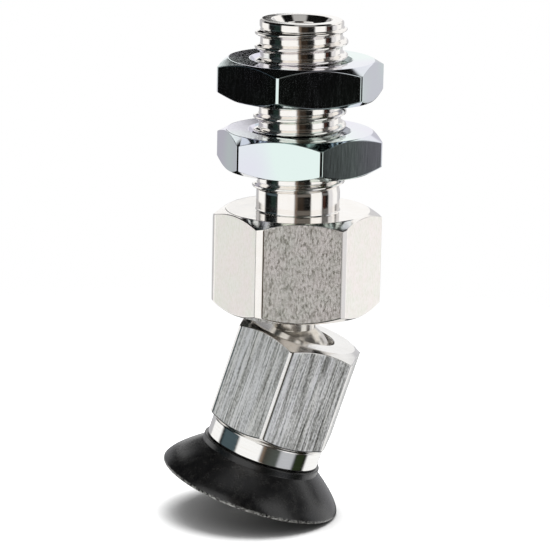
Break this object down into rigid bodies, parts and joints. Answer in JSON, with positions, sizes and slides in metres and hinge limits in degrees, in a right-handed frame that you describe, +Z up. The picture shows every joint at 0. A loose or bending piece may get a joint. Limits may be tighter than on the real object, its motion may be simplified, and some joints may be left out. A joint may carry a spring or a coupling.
{
  "type": "ball joint vacuum pad",
  "caption": "Rubber suction cup on a ball joint under a hollow threaded stud, with lock nuts that clamp a plate; the cup leans and turns to lie flat on what it lifts.",
  "frame": {"origin": "on the stud axis, at the foot of the stud's free threaded end, just above the upper lock nut", "axes": "+Z up along the stud, towards the vacuum port; the cup leans towards -X, as pictured from -Y"},
  "size_m": [0.0233, 0.02, 0.0548],
  "materials": {
    "plated_brass": "nickel plated, brushed flats",
    "plated_steel": "bright nickel plated",
    "ball_steel": "polished stainless",
    "housing_aluminium": "brushed lengthwise",
    "adapter_aluminium": "turned and polished",
    "seat_plastic": "turned, waxy",
    "seal_rubber": "moulded",
    "spring_steel": "stamped and tempered",
    "pad_rubber": "moulded, matte, dusty"
  },
  "bodies": {
    "stud": {"stud_body": "plated_brass", "ball_stud": "ball_steel"},
    "upper_nut": {"upper_lock_nut": "plated_steel"},
    "lower_nut": {"lower_lock_nut": "plated_steel"},
    "swing_ring": {"ball_stud_seal": "seat_plastic"},
    "lean_ring": {"lower_seat": "seat_plastic"},
    "pad_head": {"housing": "housing_aluminium", "upper_seat": "seat_plastic", "ball_seal": "seal_rubber", "disc_spring": "spring_steel", "pad_adapter": "adapter_aluminium", "adapter_seal": "seal_rubber", "suction_pad": "pad_rubber"}
  },
  "joints": [
    {"name": "upper_nut_travel", "type": "slide", "parent": "stud", "child": "upper_nut", "axis": [0, 0, 1], "range_m": [-0.0015, 0.0035]},
    {"name": "lower_nut_travel", "type": "slide", "parent": "stud", "child": "lower_nut", "axis": [0, 0, 1], "range_m": [-0.002, 0.0015]},
    {"name": "swing_direction", "type": "hinge", "parent": "stud", "child": "swing_ring", "pos_m": [0, 0, -0.0336], "axis": [0, 0, 1], "continuous": true},
    {"name": "lean", "type": "hinge", "parent": "swing_ring", "child": "lean_ring", "pos_m": [0, 0, -0.0336], "axis": [0, 1, 0], "range_deg": [-37.3, 2.7]},
    {"name": "spin", "type": "hinge", "parent": "lean_ring", "child": "pad_head", "pos_m": [0, 0, -0.0336], "axis": [0.2974, 0, 0.9548], "continuous": true}
  ]
}
